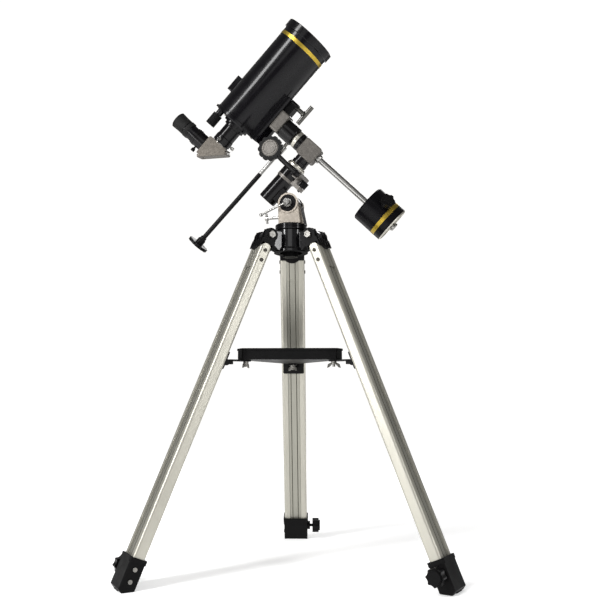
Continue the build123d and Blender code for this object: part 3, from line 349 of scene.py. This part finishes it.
def lathe(name, outline, matrix, paint, sides=96, ripple=None):
    """Closed solid of revolution about local Z from (radius, z) points in mm.

    ripple(turn, radius) gives what is added to a radius at a turn.
    """
    vertices, faces, rings = [], [], []
    for radius, z in outline:
        if radius == 0:
            rings.append([len(vertices)])
            vertices.append((0, 0, z * MM))
            continue
        ring = []
        for side in range(sides):
            turn = 2 * pi * side / sides
            r = radius + (ripple(turn, radius) if ripple else 0)
            ring.append(len(vertices))
            vertices.append((r * cos(turn) * MM, r * sin(turn) * MM, z * MM))
        rings.append(ring)
    closed = outline[0][0] > 0
    pairs = list(zip(rings, rings[1:])) + ([(rings[-1], rings[0])] if closed else [])
    for low, high in pairs:
        for side in range(sides):
            after = (side + 1) % sides
            if len(low) == 1 and len(high) == 1:
                continue
            if len(low) == 1:
                faces.append((low[0], high[side], high[after]))
            elif len(high) == 1:
                faces.append((low[side], low[after], high[0]))
            else:
                faces.append((low[side], low[after], high[after], high[side]))
    return mesh_object(name, vertices, faces, matrix, paint)


def band(name, radius, low, high, proud, matrix, paint):
    """Thin ring with rounded edges round a cylinder."""
    ease = min(0.25, proud * 0.8)
    inner = radius - 0.4
    outer = radius + proud
    outline = [(inner, low), (outer - ease, low), (outer, low + ease), (outer, high - ease),
               (outer - ease, high), (inner, high)]
    return lathe(name, outline, matrix, paint, 160)


def bars(name, boxes, matrix, paint):
    """One mesh of many small blocks, each a centre and half sizes in mm and a turn about local Z."""
    vertices, faces = [], []
    for centre, half, turn in boxes:
        first = len(vertices)
        spin = Matrix.Rotation(turn, 3, "Z")
        for x in (-1, 1):
            for y in (-1, 1):
                for z in (-1, 1):
                    local = Vector(centre) + Vector((x * half[0], y * half[1], z * half[2]))
                    vertices.append((spin @ local) * MM)
        for quad in ((0, 1, 3, 2), (4, 6, 7, 5), (0, 4, 5, 1), (2, 3, 7, 6), (0, 2, 6, 4), (1, 5, 7, 3)):
            faces.append(tuple(first + corner for corner in quad))
    return mesh_object(name, vertices, faces, matrix, paint, False)


def scale_marks(name, radius, low, high, count, every, matrix, body, numbers, number_z, size):
    """Ink divisions and figures round a setting circle's rim."""
    boxes = []
    for mark in range(count):
        long = mark % every == 0
        top = high if long else low + (high - low) * 0.55
        half = (0.06, 0.16 if long else 0.1, (top - low) / 2)
        boxes.append(((radius, 0, (low + top) / 2), half, 2 * pi * mark / count))
    ready(bars(name + "_marks", boxes, matrix, ink), body)
    vertices, faces = [], []
    for index, text in enumerate(numbers):
        curve = bpy.data.curves.new("figure", "FONT")
        curve.body = text
        curve.size = size
        curve.align_x = "CENTER"
        curve.extrude = 0.05
        curve.resolution_u = 3
        helper = bpy.data.objects.new("figure", curve)
        bpy.context.collection.objects.link(helper)
        bpy.context.view_layer.update()
        flat = bpy.data.meshes.new_from_object(helper.evaluated_get(bpy.context.evaluated_depsgraph_get()))
        turn = 2 * pi * index / len(numbers)
        first = len(vertices)
        for vertex in flat.vertices:
            along = turn + vertex.co.x / radius
            out = radius + 0.02 + vertex.co.z
            vertices.append((out * cos(along) * MM, out * sin(along) * MM, (number_z + vertex.co.y) * MM))
        faces += [tuple(first + corner for corner in face.vertices) for face in flat.polygons]
        bpy.data.objects.remove(helper)
        bpy.data.curves.remove(curve)
        bpy.data.meshes.remove(flat)
    ready(mesh_object(name + "_figures", vertices, faces, matrix, ink, False), body)


def socket_screw(name, matrix, radius, height, body, paint=None):
    """Cap screw head with a hexagonal socket and a knurled side, standing on local Z = 0."""
    socket_r = radius * 0.55
    socket_floor = height * 0.35
    outline = [(0, socket_floor), (socket_r, socket_floor), (socket_r, height), (radius * 0.86, height),
               (radius, height * 0.86), (radius, -0.4), (0, -0.4)]

    def ripple(turn, r):
        if r < radius * 0.6:
            return r * (cos(pi / 6) / cos((turn % (pi / 3)) - pi / 6) - 1)
        return 0.04 * cos(24 * turn) if r > radius * 0.95 else 0
    return ready(lathe(name, outline, matrix, paint or zinc, 72, ripple), body)


# ---------------------------------------------------------------- tripod
# radius and height of the circle of leg hinges, and length of a leg's black foot, in metres
HINGE_R = 0.055
HINGE_Z = 0.625
FOOT_TIP = 0.028


def leg_frame(axis):
    """Frame of a leg: origin on its hinge, Z down the leg, Y along the hinge bolt."""
    outward = Vector((axis.x, axis.y, 0)).normalized()
    across = Vector((0, 0, 1)).cross(outward)
    return place(Vector((HUB.x, HUB.y, HINGE_Z)) + outward * HINGE_R, across.cross(axis), axis)


def in_groove(local):
    """Walls and floors of the lengthwise grooves of a sliding leg."""
    return 0.0089 < abs(local.x) < 0.00945 and 0.0050 < abs(local.y) < 0.0070


for node in ("leg_tops", "leg_lock_housings", "tray_brackets", "tray_links", "accessory_tray"):
    coat(node, plastic)
hub = coat("tripod_hub", hub_black, matte_black)
pick(hub, 1, lambda centre, normal: normal.z < -0.6)
fasteners = coat("tripod_fasteners", zinc, screw_black)
hub_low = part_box("tripod_hub")[0].z
# the screws through the rails, at about the height of the hub's underside, are the blackened ones
pick(fasteners, 1, lambda centre, normal: hub_low - 0.045 < centre.z < hub_low + 0.008)
coat("head_centre_bolt", knob_plastic)
for name, axis in LEGS.items():
    coat(f"leg_{name}_rails", leg_metal[name])
    sliding = coat(f"leg_{name}_inner", inner_metal[name], rubber, groove_shade)
    reach = max(axis.dot(v.co) for v in sliding.vertices)
    leg_back = leg_frame(axis).inverted()
    pick(sliding, 2, lambda centre, normal: in_groove(leg_back @ centre))
    pick(sliding, 1, lambda centre, normal: reach - axis.dot(centre) < FOOT_TIP)
    coat(f"leg_{name}_lock_knob", knob_plastic)

for name, axis in LEGS.items():
    covers = []
    for side in (-1, 1):
        covers.append(((side * 11.0, 0, 50.2), (0.35, 12.35, 21.8), 0))
        for line in (-6, 6):
            covers.append(((side * 11.35, line, 50.2), (0.25, 0.7, 21.8), 0))
    cover = bars(f"leg_{name}_channel_cover", covers, leg_frame(axis), inner_metal[name])
    cover.data.materials.append(groove_shade.material)
    leg_back = leg_frame(axis).inverted()
    pick(cover.data, 1, lambda centre, normal: abs((leg_back @ centre).y) < 0.0069 and
         abs((leg_back @ centre).x) > 0.01145)
    ready(cover, "tripod")

# ---------------------------------------------------------------- mount head
yoke = coat("azimuth_yoke", casting_black, grey_painted_highlight, grey)
side_way = direction("latitude")
yoke_middle = point("latitude")
yoke_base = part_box("azimuth_yoke")[0].z + 0.0125
# the ears lie further than this from the yoke's middle, and the sunk disc on each within this of the pivot
ear_from = 0.0120
disc_r = 0.0158


def from_pivot(centre):
    away = centre - yoke_middle
    return (away - side_way * away.dot(side_way)).length


# the ears get the lighter grey as a painted highlight; the sunk disc on each keeps the black
pick(yoke, 1, lambda centre, normal: abs((centre - yoke_middle).dot(side_way)) > ear_from and
     centre.z > yoke_base)
pick(yoke, 0, lambda centre, normal: abs(normal.dot(side_way)) > 0.9 and from_pivot(centre) < disc_r)
coat("latitude_lock_lever", chrome)
coat("latitude_screw", chrome)
coat("polar_housing", casting_black)
coat("ra_worm_bracket", grey)
coat("ra_clamp_knob", knob_plastic)
coat("ra_shaft", casting_black)
coat("ra_worm_wheel", brass)
coat("dec_worm_wheel", brass)
coat("ra_setting_circle", silver)
coat("dec_setting_circle", silver)
coat("ra_worm", zinc)
coat("dec_worm", zinc)
coat("t_block", grey)
coat("dec_housing", casting_black)
coat("dec_shaft", zinc)
saddle = coat("saddle", grey, casting_black)
tube_back = TUBE.inverted()
pick(saddle, 1, lambda centre, normal: (tube_back @ centre - tube_back @ CROSSING).z > 0.0265)
coat("saddle_clamp_bolt", dark_steel)
coat("counterweight_rod", bar_steel)
coat("counterweight_lock_knob", knob_plastic)
coat("rod_end_screw", chrome)
weight = coat("counterweight", weight_black, silver)
low_face = span("counterweight", DEC_CIRCLE)[0].z
pick(weight, 1, lambda centre, normal: (DEC_CIRCLE.inverted() @ centre).z < low_face + 0.0018)


def control_shaft(node, matrix, body, bare):
    """Control shaft between its two sleeves: a bare steel length, then a close-wound jacket, as one piece."""
    near, far = heights(node, matrix)
    outline = [(3.56, near), (6.1, near), (6.3, near + 0.3), (6.8, near + 1), (6.8, near + 15.6),
               (6.5, near + 16.2), (5.7, near + 17.7), (5.5, near + 18)]
    low = near + 18.0 + bare
    high = far - 16.0
    if bare:
        outline += [(4.0, near + 18.2), (4.0, low - 0.6), (4.6, low)]
    turns = int((high - low) / 1.6)
    pitch = (high - low) / turns
    for turn in range(turns):
        start = low + pitch * turn
        for share, radius in ((0.1, 4.60), (0.5, 4.70), (0.9, 4.60)):
            outline.append((radius, start + share * pitch))
    outline += [(5.6, high), (6.4, high + 1.8), (6.5, high + 2.2), (6.5, far), (0, far), (0, near + 10.2),
                (3.56, near + 10.2)]
    piece = lathe(f"{node}_wound", outline, matrix, jacket, 40)
    piece.data.materials.append(bar_steel.material)
    if bare:
        back = matrix.inverted()
        pick(piece.data, 1, lambda centre, normal: (back @ centre).z * 1000 < low)
    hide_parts(node)
    return ready(piece, body)


control_shaft("ra_cable", RA_DRIVE, "ra_drive", 0)
control_shaft("dec_cable", DEC_DRIVE, "dec_drive", 57)
ra_knob = coat("ra_cable_knob", knob_plastic, grey)
ra_back = RA_DRIVE.inverted()
ra_face = span("ra_cable_knob", RA_DRIVE)[1].z


def on_cap(centre, normal):
    local = ra_back @ centre
    return local.z > ra_face - 0.0019 and local.xy.length < 0.0157


pick(ra_knob, 1, on_cap)
coat("dec_cable_knob", knob_plastic)
for label, matrix, body in (("ra", RA_DRIVE, "ra_drive"), ("dec", DEC_DRIVE, "dec_drive")):
    near = heights(f"{label}_cable", matrix)[0]
    seat = matrix @ Matrix.Translation((0, 0, (near + 6) * MM)) @ Matrix.Rotation(pi / 2, 4, "Y")
    socket_screw(f"{label}_cable_grub", seat @ Matrix.Translation((0, 0, 6.7 * MM)), 2.2, 2.4, body)

ra_low = heights("ra_setting_circle", RA_CIRCLE)[0]
scale_marks("ra_circle", 20.0, ra_low + 0.2, ra_low + 1.9, 96, 4, RA_CIRCLE, "ra_circle",
            [str(hour) for hour in range(0, 24, 2)], ra_low + 2.15, 2.1)
dec_low = heights("dec_setting_circle", DEC_CIRCLE)[0]
scale_marks("dec_circle", 18.0, dec_low + 0.3, dec_low + 2.4, 72, 6, DEC_CIRCLE, "dec_circle",
            ["0", "30", "60", "90", "60", "30"] * 2, dec_low + 3.0, 2.6)

# ---------------------------------------------------------------- telescope
coat("optical_tube", tube_black)
coat("front_cell", tube_black)
coat("rear_cell", tube_black)
coat("dovetail_foot", tube_black)
coat("finder_shoe", tube_black)
coat("visual_back", casting_black)
coat("visual_back_screws", chrome)
coat("corrector_lens", glass)
coat("primary_mirror", mirror)
coat("diagonal_mirror", mirror)
coat("eyepiece_lens", glass)
coat("focus_knob", knob_plastic)
coat("eyepiece_screw", knob_plastic)
coat("eyecup", rubber)
coat("diagonal_body", warm_grey, chrome, casting_black)
coat("diagonal_cover", warm_grey)
coat("eyepiece", tube_black, chrome)
eye_back = EYE.inverted()
holder = NODES["diagonal_body"].data
holder_from = 0.0224
pick(holder, 2, lambda centre, normal: (eye_back @ centre).z > holder_from)
pick(holder, 1, lambda centre, normal: (eye_back @ centre).x > holder_from)
eye_low = span("eyepiece", EYE)[0].z
pick(NODES["eyepiece"].data, 1, lambda centre, normal: (eye_back @ centre).z < eye_low + 0.0219)

# gold bands round tube and weight, and the seam near the rear end of the tube
tube_low = heights("optical_tube", TUBE)[0]
tube_r = span("optical_tube", TUBE)[1].x * 1000
cell_high = heights("front_cell", TUBE)[1]
cell_back = cell_high - 16.0
tube_gold = band("tube_gold_band", tube_r, cell_back - 16.5, cell_back - 9.0, 0.3, TUBE, gold)
ready(tube_gold, "telescope")
seam = band("tube_rear_seam", tube_r, tube_low + 5.0, tube_low + 6.6, 0.35, TUBE, tube_black)
ready(seam, "telescope")
WEIGHT_R = 38.0
weight_low = heights("counterweight", DEC_CIRCLE)[0]
weight_gold = band("weight_gold_band", WEIGHT_R, weight_low + 16.0, weight_low + 24.0, 0.3, DEC_CIRCLE, gold)
ready(weight_gold, "weight")

# silvered spot on the hollow front face of the corrector, which is a cap of a sphere
LENS_R = 46.8
SAG = 7.0
SPOT_R = 13.0
SPOT_STEPS = 8
bottom = heights("corrector_lens", TUBE)[1] - SAG
hollow_r = (LENS_R ** 2 + SAG ** 2) / (2 * SAG)


def above_lens(radius, gap):
    """Point of the spot's outline that is a gap above the lens, in mm."""
    return radius, bottom + hollow_r - (hollow_r ** 2 - radius ** 2) ** 0.5 + gap


spot_radii = [SPOT_R * step / SPOT_STEPS for step in range(1, SPOT_STEPS + 1)]
spot = [(0, bottom + 0.02)] + [above_lens(radius, 0.02) for radius in spot_radii]
spot.append((12.8, spot[-1][1] + 0.14))
spot += [above_lens(radius, 0.16) for radius in spot_radii[-2::-1]] + [(0, bottom + 0.16)]
ready(lathe("secondary_spot", spot, TUBE, mirror, 64), "telescope")

# knurled rubber grip round the eyepiece, and the ring that retains the corrector
grip_low = eye_low * 1000 + 22 + 15.2
grip = [(15.8, grip_low), (16.3, grip_low), (16.75, grip_low + 0.5), (16.75, grip_low + 8.6),
        (16.3, grip_low + 9.1), (15.8, grip_low + 9.1)]


def knurl(turn, radius):
    return 0.22 * cos(48 * turn) if radius > 16.5 else 0


ready(lathe("eyepiece_grip", grip, EYE, rubber, 288, knurl), "ocular")
lip = [(44.9, cell_high - 6.4), (46.6, cell_high - 6.4), (46.6, cell_high - 5.4), (45.6, cell_high - 5.1),
       (44.9, cell_high - 5.5)]
ready(lathe("lens_retainer", lip, TUBE, casting_black, 160), "telescope")

plate_face = cell_high - 224.0
for number in range(3):
    turn = radians(60 + 120 * number)
    at = Matrix.Translation((40.0 * cos(turn) * MM, 40.0 * sin(turn) * MM, plate_face * MM))
    backward = TUBE @ at @ Matrix.Rotation(pi, 4, "X")
    socket_screw(f"rear_cell_screw_{number + 1}", backward, 2.6, 1.9, "telescope")
shoe_low, shoe_high = span("finder_shoe", TUBE)
shoe_floor = shoe_high.x - 0.0059
for number, share in enumerate((0.25, 0.75)):
    at = Matrix.Translation((shoe_floor, 0, shoe_low.z + (shoe_high.z - shoe_low.z) * share))
    outward = TUBE @ at @ Matrix.Rotation(pi / 2, 4, "Y")
    socket_screw(f"finder_shoe_screw_{number + 1}", outward, 2.4, 1.7, "telescope")

# ---------------------------------------------------------------- stage, light and camera
FLOOR_R = 5
FLOOR_Z = -0.0004
FLOOR_SIDES = 96
floor_mesh = bpy.data.meshes.new("floor")
floor_turns = [2 * pi * side / FLOOR_SIDES for side in range(FLOOR_SIDES)]
floor_mesh.from_pydata([(FLOOR_R * cos(turn), FLOOR_R * sin(turn), FLOOR_Z) for turn in floor_turns],
                       [], [tuple(range(FLOOR_SIDES))])
floor = bpy.data.objects.new("floor", floor_mesh)
bpy.context.collection.objects.link(floor)
floor_paint = Paint("floor_paper", (0.90, 0.90, 0.90), 0.85)
floor_paint.shader.inputs["Emission Color"].default_value = (1, 1, 1, 1)
away = floor_paint.node("ShaderNodeVectorMath", operation="LENGTH")
floor_paint.link(floor_paint.coords, away.inputs[0])
glow = floor_paint.spread(away.outputs["Value"], 0.45, 0.85, 0.5, 1.8)
floor_paint.link(glow, floor_paint.shader.inputs["Emission Strength"])
floor_paint.vary_rough(floor_paint.noise(3.0), 0.8, 0.9)
floor_mesh.materials.append(floor_paint.material)

world = bpy.data.worlds.new("studio")
bpy.context.scene.world = world
world.use_nodes = True
sky = world.node_tree.nodes["Background"]
sky.inputs["Color"].default_value = (1.0, 0.99, 0.975, 1.0)
direct = world.node_tree.nodes.new("ShaderNodeLightPath").outputs["Is Camera Ray"]
power = world.node_tree.nodes.new("ShaderNodeMapRange")
power.inputs["To Min"].default_value = 0.20
power.inputs["To Max"].default_value = 1.05
world.node_tree.links.new(direct, power.inputs["Value"])
world.node_tree.links.new(power.outputs["Result"], sky.inputs["Strength"])


def softbox(name, location, target, size, power):
    light = bpy.data.lights.new(name, "AREA")
    light.shape = "RECTANGLE"
    light.size, light.size_y = size
    light.energy = power
    lamp = bpy.data.objects.new(name, light)
    lamp.location = location
    lamp.rotation_euler = (Vector(target) - Vector(location)).to_track_quat("-Z", "Y").to_euler()
    bpy.context.collection.objects.link(lamp)


softbox("key", (-1.5, -1.4, 1.0), (0, 0, 0.65), (0.22, 1.4), 26)
softbox("high", (-1.45, -1.75, 2.35), (0, 0, 0.9), (0.4, 1.3), 40)
softbox("fill", (1.6, -1.25, 0.85), (0, 0, 0.6), (0.22, 1.2), 10)
softbox("front", (-0.3, -2.8, 1.6), (0, 0, 0.6), (1.6, 1.0), 6)
softbox("back", (0.3, 1.8, 1.9), (0, 0, 0.7), (1.4, 0.8), 16)

bpy.context.scene.view_settings.view_transform = "Standard"
camera = bpy.data.cameras.new("camera")
camera.sensor_width = 36.0
camera.lens = 44.18
viewer = bpy.data.objects.new("camera", camera)
viewer.location = (HUB.x + 0.0582, HUB.y - 1.4252, 0.3112)
viewer.rotation_euler = Vector((-0.0281, 0.9905, 0.1349)).to_track_quat("-Z", "Y").to_euler()
bpy.context.collection.objects.link(viewer)
bpy.context.scene.camera = viewer
